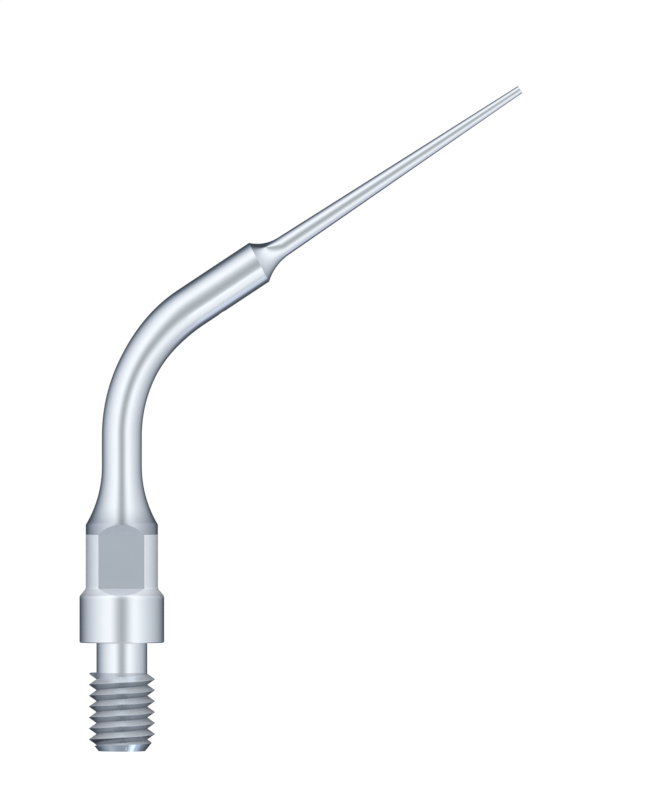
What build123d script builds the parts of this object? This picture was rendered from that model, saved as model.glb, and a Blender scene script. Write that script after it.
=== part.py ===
from build123d import *
import os
from math import atan, cos, degrees, radians, sin, sqrt, tan

# Screw-on tip for an ultrasonic dental handpiece, in millimetres: a threaded connector,
# a bent hollow shank and a slender solid probe, pressed and welded into one rigid piece.
#
# The origin is the centre of the collar's seating face, which tightens against the
# handpiece. +Z runs up the thread axis towards the shank, the threaded stud hangs below,
# and the shank bends towards +X. Thread apart, the tip is symmetric about Y = 0.

# Threaded stud, M3 x 0.5 right-hand
thread_d = 3.0
thread_pitch = 0.5
core_d = 2.32
stud_length = 4.95
stud_end_d = 2.13
end_chamfer_angle = 39.0  # from the stud's axis
thread_top_z = -1.37
ridge_top_z = -1.42  # crest of the thread's last turn, which runs out at -X
ridge_turns = 7.5
ridge_root_width = 0.47
ridge_crest_width = 0.02
ridge_embed = 0.03

# Collar and wrench section
collar_d = 3.87
collar_h = 2.13
rim_break = 0.04
seat_recess_d = 3.1  # keeps the seating ring clear of the thread's outer diameter
seat_recess_depth = 0.08
wrench_d = 3.3
wrench_bottom_z = 2.47
joint_z = 4.95  # where the connector ends and the shank's band begins
across_flats = 2.55
flat_bottom_z = 2.485
lower_runout_slope = 0.5  # axial length per depth, below the flats
upper_runout_slope = 1.2  # and above them
runout_depth = 0.9

# Shank
band_top_z = 5.39
flare_top_z = 8.05
neck_d = 1.83
bend_start_z = 9.44
bend_radius = 7.04
bend_angle = 56.5
even_angle = 25.0  # the bend's first part keeps the neck's diameter
swell_angle = 52.0  # and here it has grown to the shaft's
shaft_d = 1.99
shaft_length = 3.72
shoulder_tilt = 6.2  # the shaft's end face leans back on the outer side of the bend

# Press fits and coolant passage
spigot_d = 1.8
spigot_length = 3.1
socket_gap = 0.1  # air below each spigot
spigot_lead = 0.08
channel_d = 0.8
channel_mouth = 0.1
port_d = 0.4
port_setback = 2.7  # from the shoulder
probe_spigot_d = 1.2
probe_spigot_length = 1.9

# Probe
probe_length = 14.3
root_flare_length = 1.37
root_flare_radius = 2.0
root_d = 0.93
tip_d = 0.38
flare_sections = 6

# Derived places
core_r = core_d / 2
thread_depth = (thread_d - core_d) / 2
runout_y = across_flats / 2 + runout_depth
spigot_z = joint_z - spigot_length
flare_depth = (wrench_d - neck_d) / 2
flare_radius = (flare_depth**2 + (flare_top_z - band_top_z) ** 2) / (2 * flare_depth)
taper_length = probe_length - root_flare_length
taper_angle = degrees(atan((root_d - tip_d) / 2 / taper_length))
chamfer_rise = 1 / tan(radians(end_chamfer_angle))  # axial length per depth
probe_angle = 90 - bend_angle  # above the XY plane
axis_dir = Vector(cos(radians(probe_angle)), 0, sin(radians(probe_angle)))
bend_centre = Vector(bend_radius, 0, bend_start_z)


def bend_plane(angle):
    """Plane across the bend's centreline, this many degrees into the turn."""
    out = Vector(-cos(radians(angle)), 0, sin(radians(angle)))
    along = Vector(sin(radians(angle)), 0, cos(radians(angle)))
    return Plane(origin=bend_centre + out * bend_radius, x_dir=(0, 1, 0), z_dir=along)


shoulder = bend_plane(bend_angle).origin + axis_dir * shaft_length


def shaft_plane(distance, tilt=0.0):
    """Plane across the shaft's axis, this far past the shoulder, leaning back by tilt degrees."""
    lean = radians(probe_angle - tilt)
    return Plane(
        origin=shoulder + axis_dir * distance,
        x_dir=(0, 1, 0),
        z_dir=(cos(lean), 0, sin(lean)),
    )


inner_side = Vector(axis_dir.Z, 0, -axis_dir.X)  # square to the shaft, into the bend
port_plane = Plane(origin=shoulder - axis_dir * port_setback, x_dir=(0, 1, 0), z_dir=inner_side)


def root_flare_r(distance):
    """Radius of the probe's root this far past the shoulder: an arc that ends on the taper."""
    left = root_flare_length - distance
    return root_d / 2 + root_flare_radius - sqrt(root_flare_radius**2 - left**2)


# Milling cutter's path: two opposite flats, with a slanted run-out at each end. The
# upper run-outs reach into the shank's band, because the flats are milled after assembly.
with BuildPart() as flat_cutter:
    with BuildSketch(Plane.YZ):
        with BuildLine():
            Polyline(
                (across_flats / 2, flat_bottom_z),
                (runout_y, flat_bottom_z - runout_depth * lower_runout_slope),
                (runout_y, joint_z + runout_depth * upper_runout_slope),
                (across_flats / 2, joint_z),
                close=True,
            )
        make_face()
        mirror(about=Plane.YZ)
    extrude(amount=collar_d / 2, both=True)

# Thread ridge: a sharp V wound on the stud's core, trimmed square at its top and by the
# stud's end chamfer
with BuildPart() as thread_ridge:
    with BuildLine():
        helix = Helix(
            pitch=thread_pitch,
            height=thread_pitch * ridge_turns,
            radius=core_r,
            center=(0, 0, ridge_top_z - thread_pitch * ridge_turns),
        )
    with BuildSketch(Plane(origin=helix @ 0, x_dir=(1, 0, 0), z_dir=helix % 0)):
        with BuildLine():
            Polyline(
                (-ridge_embed, -ridge_root_width / 2),
                (0, -ridge_root_width / 2),
                (thread_depth, -ridge_crest_width / 2),
                (thread_depth, ridge_crest_width / 2),
                (0, ridge_root_width / 2),
                (-ridge_embed, ridge_root_width / 2),
                close=True,
            )
        make_face()
    sweep(path=helix, is_frenet=True)
    with BuildSketch(Plane.XZ):
        with BuildLine():
            Polyline(
                (0, -stud_length),
                (stud_end_d / 2, -stud_length),
                (collar_d / 2, -stud_length + (collar_d - stud_end_d) / 2 * chamfer_rise),
                (collar_d / 2, thread_top_z),
                (0, thread_top_z),
                close=True,
            )
        make_face()
    revolve(axis=Axis.Z, mode=Mode.INTERSECT)

# Connector: stud, relief neck, seating collar and wrench section, turned from one bar,
# with a socket for the shank and drilled through for coolant
with BuildPart() as connector:
    with BuildSketch(Plane.XZ):
        with BuildLine():
            Polyline(
                (0, -stud_length),
                (stud_end_d / 2, -stud_length),
                (core_r, -stud_length + (core_d - stud_end_d) / 2 * chamfer_rise),
                (core_r, seat_recess_depth),
                (seat_recess_d / 2, seat_recess_depth),
                (seat_recess_d / 2, 0),
                (collar_d / 2 - rim_break, 0),
                (collar_d / 2, rim_break),
                (collar_d / 2, collar_h),
                (wrench_d / 2, wrench_bottom_z),
                (wrench_d / 2, joint_z),
                (0, joint_z),
                close=True,
            )
        make_face()
    revolve(axis=Axis.Z)
    add(thread_ridge.part)
    add(flat_cutter.part, mode=Mode.SUBTRACT)
    with BuildSketch(Plane.XY.offset(joint_z)):
        Circle(spigot_d / 2)
    extrude(amount=-(spigot_length + socket_gap), mode=Mode.SUBTRACT)
    with BuildSketch(Plane.XY.offset(-stud_length)):
        Circle(channel_d / 2)
    extrude(amount=stud_length + joint_z, mode=Mode.SUBTRACT)
    stud_end = connector.faces().sort_by(Axis.Z)[0]
    chamfer(stud_end.edges().sort_by(SortBy.RADIUS)[0], length=channel_mouth)
connector.part.label = "connector"

# Bent shank: spigot, band, flare, neck, swelling bend and straight shaft, drilled along
# its centreline. The coolant leaves by the port on the bend's inner side.
with BuildPart() as bent_shank:
    with BuildSketch(Plane.XZ):
        with BuildLine():
            Polyline(
                (neck_d / 2, flare_top_z),
                (neck_d / 2, bend_start_z),
                (0, bend_start_z),
                (0, spigot_z),
                (spigot_d / 2 - spigot_lead, spigot_z),
                (spigot_d / 2, spigot_z + spigot_lead),
                (spigot_d / 2, joint_z),
                (wrench_d / 2, joint_z),
                (wrench_d / 2, band_top_z),
            )
            RadiusArc((wrench_d / 2, band_top_z), (neck_d / 2, flare_top_z), flare_radius)
        make_face()
    revolve(axis=Axis.Z)
    with BuildSketch(bend_plane(0)):
        Circle(neck_d / 2)
    revolve(axis=Axis(bend_centre, (0, 1, 0)), revolution_arc=even_angle)
    with BuildLine():
        ThreePointArc(
            bend_plane(even_angle).origin,
            bend_plane((even_angle + swell_angle) / 2).origin,
            bend_plane(swell_angle).origin,
        )
    with BuildSketch(bend_plane(even_angle)):
        Circle(neck_d / 2)
    with BuildSketch(bend_plane(swell_angle)):
        Circle(shaft_d / 2)
    sweep(multisection=True)
    with BuildSketch(bend_plane(swell_angle)):
        Circle(shaft_d / 2)
    revolve(axis=Axis(bend_centre, (0, 1, 0)), revolution_arc=bend_angle - swell_angle)
    with BuildSketch(bend_plane(bend_angle)):
        Circle(shaft_d / 2)
    extrude(amount=shaft_length + shaft_d)
    split(bisect_by=shaft_plane(0, shoulder_tilt), keep=Keep.BOTTOM)
    add(flat_cutter.part, mode=Mode.SUBTRACT)
    with BuildLine():
        Line((0, 0, spigot_z), bend_plane(0).origin)
        ThreePointArc(
            bend_plane(0).origin,
            bend_plane(bend_angle / 2).origin,
            bend_plane(bend_angle).origin,
        )
        Line(bend_plane(bend_angle).origin, shoulder)
    with BuildSketch(Plane.XY.offset(spigot_z)):
        Circle(channel_d / 2)
    sweep(mode=Mode.SUBTRACT)
    with BuildSketch(shaft_plane(-probe_spigot_length - socket_gap)):
        Circle(probe_spigot_d / 2)
    extrude(amount=probe_spigot_length + shaft_d, mode=Mode.SUBTRACT)
    with BuildSketch(port_plane):
        Circle(port_d / 2)
    extrude(amount=shaft_d, mode=Mode.SUBTRACT)
bent_shank.part.label = "bent_shank"

# Probe: a flared root that starts on the shoulder's tilted face, a long straight taper cut
# square at its end, and the spigot that closes the shank's bore
with BuildPart() as probe:
    for section in range(flare_sections):
        share = section / (flare_sections - 1)
        tilt = shoulder_tilt * (1 - share**2)
        radius = root_flare_r(share * root_flare_length)
        with BuildSketch(shaft_plane(share * root_flare_length, tilt)):
            Ellipse(radius, radius / cos(radians(tilt)))
    loft()
    with BuildSketch(shaft_plane(root_flare_length)):
        Circle(root_d / 2)
    extrude(amount=taper_length, taper=taper_angle)
    with BuildSketch(shaft_plane(-probe_spigot_length)):
        Circle(probe_spigot_d / 2)
    extrude(amount=probe_spigot_length + root_flare_length / 4)
probe.part.label = "probe"

os.makedirs("parts", exist_ok=True)
export_step(connector.part, "parts/connector.step")
export_step(bent_shank.part, "parts/bent_shank.step")
export_step(probe.part, "parts/probe.step")
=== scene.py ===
from math import atan2, cos, hypot, pi, radians, sin, sqrt, tan

import bmesh
import bpy
from mathutils import Matrix, Vector


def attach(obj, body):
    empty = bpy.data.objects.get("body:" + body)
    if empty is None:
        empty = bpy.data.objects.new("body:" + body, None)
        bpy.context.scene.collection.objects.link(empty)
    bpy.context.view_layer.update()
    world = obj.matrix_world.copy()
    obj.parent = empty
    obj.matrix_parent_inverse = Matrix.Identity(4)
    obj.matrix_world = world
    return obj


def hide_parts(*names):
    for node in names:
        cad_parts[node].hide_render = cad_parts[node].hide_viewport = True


# Visual model of the screw-on ultrasonic tip: the connector, the bent shank and the probe
# are rebuilt as fine meshes on the CAD dimensions, and lit by a set of studio softboxes.

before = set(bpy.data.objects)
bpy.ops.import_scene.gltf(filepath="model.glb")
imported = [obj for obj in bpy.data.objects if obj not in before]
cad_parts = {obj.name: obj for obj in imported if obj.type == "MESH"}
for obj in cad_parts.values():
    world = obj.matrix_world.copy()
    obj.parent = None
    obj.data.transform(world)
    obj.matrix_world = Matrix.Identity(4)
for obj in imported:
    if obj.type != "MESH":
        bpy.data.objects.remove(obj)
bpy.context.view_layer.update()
MM = 0.001

# Driving values of the CAD model, in millimetres and degrees. Only the ridge's root width
# and embed differ from it.
THREAD_D = 3.0
THREAD_PITCH = 0.5
CORE_D = 2.32
STUD_LENGTH = 4.95
STUD_END_D = 2.13
END_CHAMFER_ANGLE = 39.0
THREAD_TOP_Z = -1.37
RIDGE_TOP_Z = -1.42
RIDGE_TURNS = 7.5
RIDGE_ROOT_WIDTH = 0.498  # a hair under the pitch, so no strip of core shows between turns
RIDGE_CREST_WIDTH = 0.02
RIDGE_EMBED = 0.02  # how far the thread's ridge sits in the core
COLLAR_D = 3.87
COLLAR_H = 2.13
RIM_BREAK = 0.04
SEAT_RECESS_D = 3.1
SEAT_RECESS_DEPTH = 0.08
WRENCH_D = 3.3
WRENCH_BOTTOM_Z = 2.47
JOINT_Z = 4.95
ACROSS_FLATS = 2.55
FLAT_BOTTOM_Z = 2.485
LOWER_RUNOUT_SLOPE = 0.5
UPPER_RUNOUT_SLOPE = 1.2
RUNOUT_DEPTH = 0.9
BAND_TOP_Z = 5.39
FLARE_TOP_Z = 8.05
NECK_D = 1.83
BEND_START_Z = 9.44
BEND_RADIUS = 7.04
BEND_ANGLE = 56.5
EVEN_ANGLE = 25.0
SWELL_ANGLE = 52.0
SHAFT_D = 1.99
SHAFT_LENGTH = 3.72
SHOULDER_TILT = 6.2
SPIGOT_D = 1.8
SPIGOT_LENGTH = 3.1
SOCKET_GAP = 0.1
SPIGOT_LEAD = 0.08
CHANNEL_D = 0.8
CHANNEL_MOUTH = 0.1
PORT_D = 0.4
PORT_SETBACK = 2.7
PROBE_SPIGOT_D = 1.2
PROBE_SPIGOT_LENGTH = 1.9
PROBE_LENGTH = 14.3
ROOT_FLARE_LENGTH = 1.37
ROOT_FLARE_RADIUS = 2.0
ROOT_D = 0.93
TIP_D = 0.38

# Fineness of the meshes
ROUND = 240  # facets round the connector and the shank
PROBE_ROUND = 128
PORT_ROUND = 48
BLEND_STEPS = 8  # facets across a rounded corner
TURN_STEPS = 120  # thread sections per turn
BEND_STEPS = 46
FLARE_STEPS = 24
ROOT_STEPS = 30
TAPER_STEPS = 16
SHARP_ANGLE = 35.0  # edges bent more than this are shaded as edges

# Small edge details that the CAD model leaves out
EDGE_BREAK = 0.02
COLLAR_BLEND = 0.2  # radius that rounds the two corners of the collar's chamfer
TIP_BREAK = 0.012

# Faces take their materials by their centre and by the parts of their unit normal
CLOSE = 0.001  # slack for a place or a direction that has to match
FLANK = 0.3  # faces that look up or down by more than this are flanks or slants

PROBE_ANGLE = radians(90 - BEND_ANGLE)
AXIS = Vector((cos(PROBE_ANGLE), 0, sin(PROBE_ANGLE)))
INNER = Vector((AXIS.z, 0, -AXIS.x))  # across the shaft, into the bend
SIDE = Vector((0, 1, 0))
BEND_CENTRE = Vector((BEND_RADIUS, 0, BEND_START_Z))
CHANNEL_R = CHANNEL_D / 2
CORE_R = CORE_D / 2
WRENCH_R = WRENCH_D / 2
NECK_R = NECK_D / 2
SHAFT_R = SHAFT_D / 2
PROBE_SPIGOT_R = PROBE_SPIGOT_D / 2


def bend_frame(angle):
    """Centre of the section this many degrees into the bend, and its inward direction."""
    inward = Vector((cos(radians(angle)), 0, -sin(radians(angle))))
    return BEND_CENTRE - inward * BEND_RADIUS, inward


SHOULDER = bend_frame(BEND_ANGLE)[0] + AXIS * SHAFT_LENGTH


def chamfer_rise(radius):
    """Height above the stud's end face where its end chamfer reaches this radius."""
    return (radius - STUD_END_D / 2) / tan(radians(END_CHAMFER_ANGLE))


# ---------------------------------------------------------------- mesh building


def ring(centre, inward, radius, steps=ROUND, lean=None):
    """Points of a circle across the centreline. With lean, each point slides along AXIS to
    the plane that leans by that many degrees."""
    points = []
    for step in range(steps):
        turn = 2 * pi * step / steps
        across = radius * cos(turn)
        point = centre + inward * across + SIDE * (radius * sin(turn))
        if lean:
            point = point - AXIS * (tan(radians(lean)) * across)
        points.append(point)
    return points


def mesh_object(name, points, faces):
    """A new object in millimetres, with its faces turned outward."""
    mesh = bpy.data.meshes.new(name)
    mesh.from_pydata(points, [], faces)
    shell = bmesh.new()
    shell.from_mesh(mesh)
    bmesh.ops.recalc_face_normals(shell, faces=shell.faces)
    shell.to_mesh(mesh)
    shell.free()
    made = bpy.data.objects.new(name, mesh)
    bpy.context.scene.collection.objects.link(made)
    return made


def skin(name, rings, closed=False):
    """Solid over rings of equally many points. The ends are capped, or joined if closed."""
    count = len(rings[0])
    points = [point for one in rings for point in one]
    bands = [(k, k + 1) for k in range(len(rings) - 1)]
    if closed:
        bands.append((len(rings) - 1, 0))
    faces = []
    for low, high in bands:
        for step in range(count):
            after = (step + 1) % count
            corners = ((low, step), (low, after), (high, after), (high, step))
            faces.append(tuple(row * count + column for row, column in corners))
    if not closed:
        last = (len(rings) - 1) * count
        faces.append(tuple(reversed(range(count))))
        faces.append(tuple(range(last, last + count)))
    return mesh_object(name, points, faces)


def turned(name, profile, closed=False):
    """Solid of revolution about Z over a profile of (radius, height)."""
    upright = [ring(Vector((0, 0, z)), Vector((1, 0, 0)), radius) for radius, z in profile]
    return skin(name, upright, closed)


def rounded(outline):
    """Profile of (radius, height). A third number in a point is the radius that rounds off
    its corner."""
    profile = []
    for index, (radius, height, *blend) in enumerate(outline):
        corner = Vector((radius, height))
        if not blend:
            profile.append((radius, height))
            continue
        back = (Vector(outline[index - 1][:2]) - corner).normalized()
        ahead = (Vector(outline[index + 1][:2]) - corner).normalized()
        half = back.angle(ahead) / 2
        reach = blend[0] / tan(half)
        centre = corner + (back + ahead).normalized() * (blend[0] / sin(half))
        for step in range(BLEND_STEPS + 1):
            chord = (corner + back * reach).lerp(corner + ahead * reach, step / BLEND_STEPS)
            profile.append(tuple(centre + (chord - centre).normalized() * blend[0]))
    return profile


def combine(target, operation, tool):
    """Applies a boolean to target and removes the tool."""
    modifier = target.modifiers.new("cut", "BOOLEAN")
    modifier.operation = operation
    modifier.solver = "MANIFOLD"
    modifier.object = tool
    bpy.context.view_layer.update()
    result = bpy.data.meshes.new_from_object(
        target.evaluated_get(bpy.context.evaluated_depsgraph_get())
    )
    target.modifiers.clear()
    target.data = result
    result.name = target.name
    bpy.data.objects.remove(tool)


def flat_cutter(sign):
    """Block that mills one wrench flat with its two slanted run-outs."""
    depth = ACROSS_FLATS / 2
    outer = depth + RUNOUT_DEPTH
    outline = (
        (depth, FLAT_BOTTOM_Z),
        (outer, FLAT_BOTTOM_Z - RUNOUT_DEPTH * LOWER_RUNOUT_SLOPE),
        (outer, JOINT_Z + RUNOUT_DEPTH * UPPER_RUNOUT_SLOPE),
        (depth, JOINT_Z),
    )
    sides = [
        [Vector((x, sign * y, z)) for y, z in outline] for x in (COLLAR_D * sign, -COLLAR_D * sign)
    ]
    return skin("flat_cutter", sides)


def thread_ridge():
    """The sharp V of the thread, trimmed by the stud's top plane and end chamfer."""
    root = RIDGE_ROOT_WIDTH / 2
    crest = RIDGE_CREST_WIDTH / 2
    section = (
        (CORE_R - RIDGE_EMBED, -root),
        (CORE_R, -root),
        (THREAD_D / 2, -crest),
        (THREAD_D / 2, crest),
        (CORE_R, root),
        (CORE_R - RIDGE_EMBED, root),
    )
    steps = round(RIDGE_TURNS * TURN_STEPS)
    rings = []
    for step in range(steps + 1):
        turns = step / TURN_STEPS
        z = RIDGE_TOP_Z - (RIDGE_TURNS - turns) * THREAD_PITCH
        outward = Vector((cos(2 * pi * turns), sin(2 * pi * turns), 0))
        rings.append([outward * radius + Vector((0, 0, z + rise)) for radius, rise in section])
    ridge = skin("thread_ridge", rings)
    envelope = turned(
        "envelope",
        (
            (STUD_END_D / 2, -STUD_LENGTH),
            (COLLAR_D / 2, chamfer_rise(COLLAR_D / 2) - STUD_LENGTH),
            (COLLAR_D / 2, THREAD_TOP_Z),
            (STUD_END_D / 2, THREAD_TOP_Z),
        ),
    )
    combine(ridge, "INTERSECT", envelope)
    return ridge


def make_connector():
    """Threaded stud, relief neck, seating collar and wrench section."""
    collar = COLLAR_D / 2
    seat = SEAT_RECESS_D / 2
    socket_z = JOINT_Z - SPIGOT_LENGTH - SOCKET_GAP
    made = turned(
        "connector_fine",
        rounded((
            (CHANNEL_R + CHANNEL_MOUTH, -STUD_LENGTH),
            (STUD_END_D / 2, -STUD_LENGTH),
            (CORE_R, chamfer_rise(CORE_R) - STUD_LENGTH),
            (CORE_R, THREAD_TOP_Z),
            (CORE_R, SEAT_RECESS_DEPTH),
            (seat, SEAT_RECESS_DEPTH),
            (seat, 0),
            (collar - RIM_BREAK, 0),
            (collar, RIM_BREAK),
            (collar, COLLAR_H, COLLAR_BLEND),
            (WRENCH_R, WRENCH_BOTTOM_Z, COLLAR_BLEND),
            (WRENCH_R, JOINT_Z - EDGE_BREAK),
            (WRENCH_R - EDGE_BREAK, JOINT_Z),
            (SPIGOT_D / 2, JOINT_Z),
            (SPIGOT_D / 2, socket_z),
            (CHANNEL_R, socket_z),
            (CHANNEL_R, CHANNEL_MOUTH - STUD_LENGTH),
        )),
        closed=True,
    )
    combine(made, "UNION", thread_ridge())
    combine(made, "DIFFERENCE", flat_cutter(1))
    combine(made, "DIFFERENCE", flat_cutter(-1))
    return made


def shank_stations():
    """(centre, inward direction, radius) of the shank's outside round the bend. It eases from
    the neck's radius into the shaft's."""
    stations = []
    for step in range(BEND_STEPS + 1):
        angle = BEND_ANGLE * step / BEND_STEPS
        share = min(1, max(0, (angle - EVEN_ANGLE) / (SWELL_ANGLE - EVEN_ANGLE)))
        radius = NECK_R + (SHAFT_R - NECK_R) * share * share * (3 - 2 * share)
        stations.append((*bend_frame(angle), radius))
    return stations


def make_shank():
    """Spigot, band, flare, neck, bend and shaft, bored along the centreline."""
    spigot = SPIGOT_D / 2
    spigot_z = JOINT_Z - SPIGOT_LENGTH
    depth = WRENCH_R - NECK_R
    length = FLARE_TOP_Z - BAND_TOP_Z
    flare_radius = (depth**2 + length**2) / (2 * depth)
    rings = []

    def level(radius, z):
        rings.append(ring(Vector((0, 0, z)), Vector((1, 0, 0)), radius))

    level(CHANNEL_R, spigot_z)
    level(spigot - SPIGOT_LEAD, spigot_z)
    level(spigot, spigot_z + SPIGOT_LEAD)
    level(spigot, JOINT_Z)
    level(WRENCH_R, JOINT_Z)
    level(WRENCH_R, BAND_TOP_Z)
    for step in range(1, FLARE_STEPS + 1):
        left = length * (1 - step / FLARE_STEPS)
        level(NECK_R + flare_radius - sqrt(flare_radius**2 - left**2), FLARE_TOP_Z - left)
    bend = shank_stations()
    rings += [ring(*station) for station in bend]
    rings.append(ring(SHOULDER, INNER, SHAFT_R, lean=SHOULDER_TILT))
    rings.append(ring(SHOULDER, INNER, PROBE_SPIGOT_R, lean=SHOULDER_TILT))
    socket_end = SHOULDER - AXIS * (PROBE_SPIGOT_LENGTH + SOCKET_GAP)
    rings.append(ring(socket_end, INNER, PROBE_SPIGOT_R))
    rings.append(ring(socket_end, INNER, CHANNEL_R))
    rings += [ring(centre, inward, CHANNEL_R) for centre, inward, _ in reversed(bend)]
    made = skin("bent_shank_fine", rings, closed=True)
    combine(made, "DIFFERENCE", flat_cutter(1))
    combine(made, "DIFFERENCE", flat_cutter(-1))
    port_start = SHOULDER - AXIS * PORT_SETBACK
    port_ends = (port_start + INNER * SHAFT_D, port_start)
    port = skin("port", [ring(end, AXIS, PORT_D / 2, PORT_ROUND) for end in port_ends])
    combine(made, "DIFFERENCE", port)
    return made


def root_flare_r(distance):
    """Radius of the probe's root this far past the shoulder."""
    left = ROOT_FLARE_LENGTH - distance
    return ROOT_D / 2 + ROOT_FLARE_RADIUS - sqrt(ROOT_FLARE_RADIUS**2 - left**2)


def make_probe():
    """Spigot, flared root and long taper, cut square at its end."""
    tip = TIP_D / 2
    rings = []

    def section(distance, radius, lean=0.0):
        rings.append(ring(SHOULDER + AXIS * distance, INNER, radius, PROBE_ROUND, lean))

    section(-PROBE_SPIGOT_LENGTH, PROBE_SPIGOT_R - SPIGOT_LEAD)
    section(SPIGOT_LEAD - PROBE_SPIGOT_LENGTH, PROBE_SPIGOT_R)
    section(0, PROBE_SPIGOT_R, SHOULDER_TILT)
    for step in range(ROOT_STEPS + 1):
        share = step / ROOT_STEPS
        distance = share * ROOT_FLARE_LENGTH
        section(distance, root_flare_r(distance), SHOULDER_TILT * (1 - share**2))
    for step in range(1, TAPER_STEPS + 1):
        share = step / TAPER_STEPS
        distance = ROOT_FLARE_LENGTH + (PROBE_LENGTH - TIP_BREAK - ROOT_FLARE_LENGTH) * share
        section(distance, ROOT_D / 2 + (tip - ROOT_D / 2) * share)
    section(PROBE_LENGTH, tip - TIP_BREAK)
    return skin("probe_fine", rings)


def way_along(point):
    """How far along the tip's centreline a point lies, in millimetres past the seat."""
    past = (point - BEND_CENTRE).dot(AXIS)
    if past > 0:
        return BEND_START_Z + BEND_RADIUS * radians(BEND_ANGLE) + past
    if point.z > BEND_START_Z:
        turn = atan2(point.z - BEND_START_Z, BEND_RADIUS - point.x)
        return BEND_START_Z + BEND_RADIUS * turn
    return point.z


# ---------------------------------------------------------------- node graphs


class Graph:
    """Adds and joins the nodes of one node tree."""

    def __init__(self, tree):
        self.tree = tree
        tree.nodes.clear()

    def put(self, socket, value):
        """Joins another node's output to the socket, or sets the socket's own value."""
        if isinstance(value, bpy.types.NodeSocket):
            self.tree.links.new(value, socket)
        else:
            socket.default_value = value

    def add(self, kind, inputs=(), **settings):
        """Adds a shader node with its settings, and fills its inputs by name or number."""
        node = self.tree.nodes.new("ShaderNode" + kind)
        for key, value in settings.items():
            setattr(node, key, value)
        for key, value in dict(inputs).items():
            self.put(node.inputs[key], value)
        return node

    def math(self, operation, *values):
        """Math node over numbers and other nodes' outputs."""
        node = self.add("Math", operation=operation)
        for socket, value in zip(node.inputs, values):
            self.put(socket, value)
        return node.outputs[0]

    def remap(self, value, low, high, to_low=0.0, to_high=1.0):
        """Smooth step from to_low to to_high while the value goes from low to high."""
        limits = {"From Min": low, "From Max": high, "To Min": to_low, "To Max": to_high}
        node = self.add(
            "MapRange", {"Value": value, **limits}, interpolation_type="SMOOTHSTEP"
        )
        return node.outputs["Result"]

    def along(self):
        """Distance along the tip's centreline, in millimetres."""
        return self.add("Attribute", attribute_name="along").outputs["Fac"]

    def place(self):
        """The point's own coordinates, in metres."""
        return self.add("TexCoord").outputs["Object"]

    def off_axis(self, place):
        """Distance of a place from the Z axis."""
        level = self.add("VectorMath", {0: place, 1: (1, 1, 0)}, operation="MULTIPLY")
        length = self.add("VectorMath", {0: level.outputs[0]}, operation="LENGTH")
        return length.outputs["Value"]

    def mix(self, factor, first, second):
        """Colour mix. The node's colours are its inputs 6 and 7 and its output 2."""
        node = self.add("Mix", {0: factor, 6: first, 7: second}, data_type="RGBA")
        return node.outputs[2]

    def ramp(self, value, stops):
        """Colour ramp over (place from 0 to 1, colour) stops."""
        node = self.add("ValToRGB", {"Fac": value})
        band = node.color_ramp
        while len(band.elements) < len(stops):
            band.elements.new(1.0)
        for element, (place, colour) in zip(band.elements, stops):
            element.position = place
            element.color = (*colour, 1.0)
        return node.outputs["Color"]

    def noise(self, scale, vector, detail, roughness=0.5):
        """Noise in space."""
        settings = {"Vector": vector, "Scale": scale, "Detail": detail, "Roughness": roughness}
        return self.add("TexNoise", settings).outputs["Fac"]

    def ring_noise(self, scale, along, detail):
        """Noise that changes only along the piece, as rings turned round its axis."""
        settings = {"W": along, "Scale": scale, "Detail": detail, "Roughness": 0.5}
        return self.add("TexNoise", settings, noise_dimensions="1D").outputs["Fac"]


def shaded(tint, share):
    """The tint made darker or lighter by this share, as a colour with alpha."""
    return (*(min(1, share * channel) for channel in tint), 1)


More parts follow.
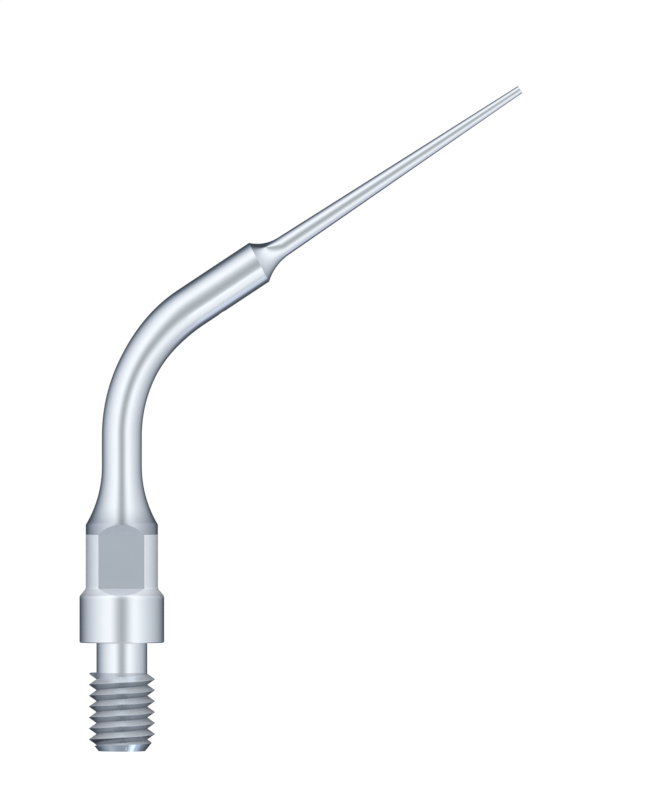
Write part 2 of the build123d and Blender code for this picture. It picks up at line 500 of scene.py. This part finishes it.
def metal(
    name,
    tint,
    roughness,
    ring_scale=22.0,
    ring_height=0.0004,
    metallic=1.0,
    shade=None,
    worn_and_highlit_at=(),
    satin_over=None,
):
    """Turned or polished steel: fine rings round the axis from the tool, in bump and in
    roughness, soft clouds where the polish is uneven, and small scratches. ring_scale is
    about the number of rings per millimetre, and ring_height is in millimetres.
    shade(graph, colour) changes the colour over the piece. worn_and_highlit_at lists distances
    along the piece where an edge is rubbed bright, partly wear and partly a painted highlight.
    satin_over gives the two distances between which the polish turns satin."""
    spread = 0.04  # of the roughness, from the rings and from the clouds
    broad_rings = ring_scale / 9
    cloud_scale, speck_scale, scratch_scale = 420.0, 9000.0, 2600.0  # per metre
    scratch_stretch = (1.0, 1.0, 9.0)
    scratch_level = (0.62, 0.75)  # only the noise's peaks are scratches
    rub_and_highlight_colour = (0.93, 0.95, 0.97, 1)
    rub_and_highlight_rougher = 0.12
    satin_colour = (0.90, 0.92, 0.95, 1)
    satin_rougher = 0.22
    satin_less_metallic = -0.27

    material = bpy.data.materials.new(name)
    material.use_nodes = True
    graph = Graph(material.node_tree)
    along = graph.along()
    place = graph.place()
    fine = graph.ring_noise(ring_scale, along, 3.0)
    broad = graph.ring_noise(broad_rings, along, 1.0)
    clouds = graph.noise(cloud_scale, place, 4.0, roughness=0.6)
    specks = graph.noise(speck_scale, place, 2.0)
    stretched = graph.add("Mapping", {"Vector": place, "Scale": scratch_stretch}).outputs[0]
    scratches = graph.remap(graph.noise(scratch_scale, stretched, 3.0), *scratch_level)

    colour = graph.mix(clouds, shaded(tint, 0.97), shaded(tint, 1.03))
    colour = graph.mix(graph.math("MULTIPLY", scratches, 0.12), colour, shaded(tint, 0.8))
    if shade:
        colour = shade(graph, colour)
    rough = graph.math("MULTIPLY_ADD", clouds, spread, roughness - spread / 2)
    rough = graph.math("MULTIPLY_ADD", fine, spread, graph.math("SUBTRACT", rough, spread / 2))
    rough = graph.math("MULTIPLY_ADD", scratches, 0.04, rough)
    # Rubbed edges: partly wear, partly a painted highlight along the edge
    for edge in worn_and_highlit_at:
        beside = graph.math("ABSOLUTE", graph.math("SUBTRACT", along, edge))
        reach = graph.math("MULTIPLY_ADD", clouds, 0.08, 0.01)
        rub_and_highlight = graph.math("MULTIPLY", graph.remap(beside, 0.0, reach, 1.0, 0.0), 0.5)
        colour = graph.mix(rub_and_highlight, colour, rub_and_highlight_colour)
        rough = graph.math("MULTIPLY_ADD", rub_and_highlight, rub_and_highlight_rougher, rough)
    if satin_over:
        satin = graph.remap(along, *satin_over)
        colour = graph.mix(satin, colour, satin_colour)
        rough = graph.math("MULTIPLY_ADD", satin, satin_rougher, rough)
        metallic = graph.math("MULTIPLY_ADD", satin, satin_less_metallic, metallic)

    height = graph.math("MULTIPLY_ADD", specks, 0.25, fine)
    height = graph.math("MULTIPLY_ADD", broad, 1.2, height)
    height = graph.math("MULTIPLY_ADD", scratches, -0.4, height)
    bump = graph.add(
        "Bump", {"Height": height, "Strength": 1.0, "Distance": ring_height * MM}
    ).outputs[0]
    shader = graph.add(
        "BsdfPrincipled",
        {"Base Color": colour, "Metallic": metallic, "Roughness": rough, "Normal": bump},
    )
    graph.add("OutputMaterial", {"Surface": shader.outputs[0]})
    return material


def painted_band_shade(graph, colour):
    """Painted shade: the shank's foot is darker near the connector and fades back up the flare."""
    band_shade = graph.remap(graph.along(), JOINT_Z + 0.1, BAND_TOP_Z + 0.9, 1.0, 0.0)
    return graph.mix(band_shade, colour, (0.52, 0.56, 0.62, 1))


def painted_root_shade(graph, colour):
    """Painted shade in the thread's roots, darkest at the core and gone at the crests."""
    root_shade_depth = 0.16
    radius = graph.off_axis(graph.place())
    root_shade = graph.remap(radius, CORE_R * MM, (CORE_R + root_shade_depth) * MM, 0.55, 0.0)
    return graph.mix(root_shade, colour, (0.22, 0.24, 0.27, 1))


# ---------------------------------------------------------------- pieces

SILVER = (0.82, 0.865, 0.91)
turned_steel = metal(
    "turned_steel",
    SILVER,
    0.17,
    worn_and_highlit_at=(0.0, RIM_BREAK),
    satin_over=(COLLAR_H - 0.2, COLLAR_H + 0.22),
)
# The bright line at the joint's edge is partly a painted highlight
satin_steel = metal(
    "satin_steel", (0.85, 0.88, 0.92), 0.42, ring_height=0.0006, metallic=0.78, worn_and_highlit_at=(JOINT_Z,)
)
milled_steel = metal("milled_steel", (0.75, 0.80, 0.875), 0.24, ring_height=0.0003)
# The flats' lower run-outs, which face up, are paler than the upper ones, which face down
runout_steel = metal("runout_steel", (0.76, 0.79, 0.84), 0.62, metallic=0.85)
relief_steel = metal("relief_steel", (0.55, 0.59, 0.635), 0.5, ring_height=0.0003)
# Painted light and shade: the thread's upper flanks take a pale steel, its lower flanks a dark one
core_steel = metal("core_steel", (0.57, 0.61, 0.67), 0.34, ring_scale=60.0)
lit_thread_steel = metal("lit_thread_steel", (0.92, 0.95, 0.99), 0.33, ring_scale=60.0, metallic=0.79)
shaded_steel = metal(
    "shaded_thread_steel", (0.26, 0.29, 0.33), 0.34, ring_scale=60.0, shade=painted_root_shade
)
end_steel = metal("end_steel", (0.60, 0.68, 0.76), 0.16, ring_height=0.0002)
# Painted shade darkens the shank's foot near the joint
polished_steel = metal("polished_steel", SILVER, 0.13, ring_height=0.0002, shade=painted_band_shade)
drawn_steel = metal("drawn_steel", SILVER, 0.12, ring_height=0.0002)


def connector_finish(centre, normal):
    """Which of the connector's materials a face takes."""
    cone_slack = 0.02  # faces this near the end chamfer's cone belong to it
    upright = abs(normal.z) < CLOSE
    if upright and abs(abs(centre.y) - ACROSS_FLATS / 2) < CLOSE and abs(normal.x) < CLOSE:
        return milled_steel
    slanted = abs(normal.x) < CLOSE and not upright
    if slanted and COLLAR_H - COLLAR_BLEND < centre.z < FLAT_BOTTOM_Z:
        return runout_steel
    if centre.z < THREAD_TOP_Z + CLOSE:
        end_z = max(chamfer_rise(hypot(centre.x, centre.y)), 0) - STUD_LENGTH
        if centre.z < end_z + cone_slack:
            return end_steel
        # Painted shade on the lower flanks and the ridge's end; painted light on the upper flanks
        ridge_end = normal.y < -0.9 and centre.x < -CORE_R
        if normal.z < -FLANK or ridge_end:
            return shaded_steel
        return lit_thread_steel if normal.z > FLANK else core_steel
    if centre.z > WRENCH_BOTTOM_Z + COLLAR_BLEND / 2:
        return satin_steel
    return turned_steel


def shank_finish(centre, normal):
    """The milled run-outs of the flats are dull and the rest of the shank is polished."""
    slanted = abs(normal.x) < CLOSE and abs(normal.y) > FLANK and normal.z < -FLANK
    if slanted and JOINT_Z < centre.z < FLARE_TOP_Z:
        return relief_steel
    return polished_steel


def probe_finish(centre, normal):
    """The probe is polished all over."""
    return drawn_steel


def place_piece(made, node, finish):
    """Gives each face its material, smooths the mesh but for its sharp edges, turns it into
    metres, and lets it stand for its CAD node."""
    mesh = made.data
    mesh.materials.clear()
    slots = []
    for polygon in mesh.polygons:
        material = finish(polygon.center, polygon.normal)
        if material not in slots:
            slots.append(material)
            mesh.materials.append(material)
        polygon.material_index = slots.index(material)
    mesh.shade_smooth()
    mesh.set_sharp_from_angle(angle=radians(SHARP_ANGLE))
    along = mesh.attributes.new("along", "FLOAT", "POINT")
    along.data.foreach_set("value", [way_along(vertex.co) for vertex in mesh.vertices])
    mesh.transform(Matrix.Scale(MM, 4))
    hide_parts(node)
    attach(made, "root")


place_piece(make_connector(), "connector", connector_finish)
place_piece(make_shank(), "bent_shank", shank_finish)
place_piece(make_probe(), "probe", probe_finish)


# ---------------------------------------------------------------- studio

# Brightness round the horizon by azimuth: 0 is the camera's side, positive to its right. A
# dim gap between two tall softboxes gives the grey line down the middle of each round part.
HORIZON = (
    (-180, (0.06, 0.07, 0.09)),
    (-164, (0.06, 0.07, 0.09)),
    (-150, (0.09, 0.105, 0.13)),
    (-135, (0.19, 0.22, 0.26)),
    (-118, (0.38, 0.42, 0.47)),
    (-95, (0.64, 0.67, 0.72)),
    (-72, (0.88, 0.89, 0.92)),
    (-50, (1.06, 1.06, 1.07)),
    (-36, (1.12, 1.12, 1.12)),
    (-27, (1.07, 1.07, 1.08)),
    (-17, (0.79, 0.81, 0.82)),
    (-8, (0.56, 0.58, 0.59)),
    (0, (0.45, 0.47, 0.48)),
    (8, (0.52, 0.54, 0.55)),
    (17, (0.74, 0.76, 0.77)),
    (27, (1.03, 1.03, 1.04)),
    (36, (1.12, 1.12, 1.12)),
    (50, (1.00, 1.01, 1.02)),
    (72, (0.78, 0.80, 0.83)),
    (95, (0.61, 0.63, 0.67)),
    (118, (0.42, 0.445, 0.48)),
    (135, (0.25, 0.27, 0.30)),
    (150, (0.11, 0.12, 0.14)),
    (164, (0.06, 0.07, 0.08)),
    (180, (0.06, 0.07, 0.09)),
)

# Softboxes below and behind the object: direction, angles where the box is full and where
# it has faded out, colour. Where two overlap, the later one covers the earlier one.
SOFTBOXES = (
    ((0, 0, -1), 12, 30, (0.43, 0.455, 0.48)),
    ((0, -0.76, -0.65), 10, 24, (2.2, 2.24, 2.3)),
    ((0.53, 0.17, -0.83), 3, 16, (0.66, 0.69, 0.85)),
    ((0.40, 0.02, -0.91), 4, 11, (1.45, 1.58, 1.75)),
    ((0, 1, 0.03), 4, 9, (0.52, 0.54, 0.57)),
    ((0, 0.94, -0.34), 5, 13, (0.52, 0.54, 0.57)),
)


def build_world():
    """Studio round the object. The camera sees plain white behind it."""
    world = bpy.data.worlds.new("studio")
    bpy.context.scene.world = world
    world.use_nodes = True
    graph = Graph(world.node_tree)
    direction = graph.add("TexCoord").outputs["Generated"]
    axes = graph.add("SeparateXYZ", {"Vector": direction}).outputs
    turn = graph.math("ARCTAN2", axes["X"], graph.math("MULTIPLY", axes["Y"], -1.0))
    share = graph.math("MULTIPLY_ADD", turn, 1 / (2 * pi), 0.5)
    colour = graph.ramp(share, [(angle / 360 + 0.5, tone) for angle, tone in HORIZON])
    low = graph.remap(axes["Z"], -0.15, -0.5, 0.0, 0.06)  # a little darker underneath
    colour = graph.mix(low, colour, (0, 0, 0, 1))
    for aim, inner, outer, tone in SOFTBOXES:
        facing = graph.add(
            "VectorMath", {0: direction, 1: Vector(aim).normalized()}, operation="DOT_PRODUCT"
        ).outputs["Value"]
        cover = graph.remap(facing, cos(radians(outer)), cos(radians(inner)))
        colour = graph.mix(cover, colour, (*tone, 1))
    studio = graph.add("Background", {"Color": colour, "Strength": 1.0}).outputs[0]
    backdrop = graph.add("Background", {"Color": (1, 1, 1, 1), "Strength": 1.02}).outputs[0]
    seen = graph.add("LightPath").outputs["Is Camera Ray"]
    both = graph.add("MixShader", {0: seen, 1: studio, 2: backdrop}).outputs[0]
    graph.add("OutputWorld", {"Surface": both})


def build_floor():
    """Pale round table below the stud, which fades out towards its rim and is not seen
    from below."""
    floor_z = -12.0
    rim_r = 140.0
    fade_from_r = 60.0
    fibre_scale = 900.0  # per metre
    rim = ring(Vector((0, 0, floor_z)), Vector((1, 0, 0)), rim_r)
    disc = bpy.data.meshes.new("floor")
    disc.from_pydata(rim, [], [tuple(range(len(rim)))])
    floor = bpy.data.objects.new("floor", disc)
    bpy.context.scene.collection.objects.link(floor)
    material = bpy.data.materials.new("floor_paper")
    material.use_nodes = True
    graph = Graph(material.node_tree)
    place = graph.place()
    fibres = graph.noise(fibre_scale, place, 3.0)
    colour = graph.mix(fibres, (0.74, 0.74, 0.74, 1), (0.78, 0.78, 0.78, 1))
    paper = graph.add("BsdfPrincipled", {"Base Color": colour, "Roughness": 0.9}).outputs[0]
    clear = graph.add("BsdfTransparent").outputs[0]
    fade = graph.remap(graph.off_axis(place), fade_from_r * MM, rim_r * MM)
    below = graph.add("NewGeometry").outputs["Backfacing"]
    unseen = graph.math("MAXIMUM", fade, below)
    both = graph.add("MixShader", {0: unseen, 1: paper, 2: clear}).outputs[0]
    graph.add("OutputMaterial", {"Surface": both})
    disc.materials.append(material)
    disc.transform(Matrix.Scale(MM, 4))
    floor.visible_glossy = False


def build_lights():
    """Two large soft lamps that light the floor and round off the metal."""
    middle = Vector((9.36, 0, 10.0)) * MM
    distance = 600.0 * MM
    width = 350.0 * MM
    for name, aim, watts in (
        ("key_softbox", Vector((-0.15, -1.0, 0.7)), 2.4),
        ("fill_softbox", Vector((0.6, -0.9, 0.4)), 0.9),
    ):
        light = bpy.data.lights.new(name, "AREA")
        light.energy = watts
        light.size = width
        lamp = bpy.data.objects.new(name, light)
        lamp.location = middle + aim.normalized() * distance
        lamp.rotation_mode = "QUATERNION"
        lamp.rotation_quaternion = (lamp.location - middle).to_track_quat("Z", "Y")
        lamp.visible_glossy = False
        bpy.context.scene.collection.objects.link(lamp)


def build_camera():
    """Level view along +Y through a long lens."""
    reach = 550.0
    field = 36.53  # longer side of the view, at the object
    camera_x, camera_z = 9.367, 11.08
    camera = bpy.data.cameras.new("camera")
    camera.sensor_width = 36.0
    camera.lens = camera.sensor_width * reach / field
    camera.clip_start = 0.01
    camera.clip_end = 10.0
    eye = bpy.data.objects.new("camera", camera)
    eye.location = Vector((camera_x, -reach, camera_z)) * MM
    eye.rotation_euler = (pi / 2, 0, 0)
    bpy.context.scene.collection.objects.link(eye)
    bpy.context.scene.camera = eye


build_world()
build_floor()
build_lights()
build_camera()
bpy.context.scene.view_settings.view_transform = "Standard"
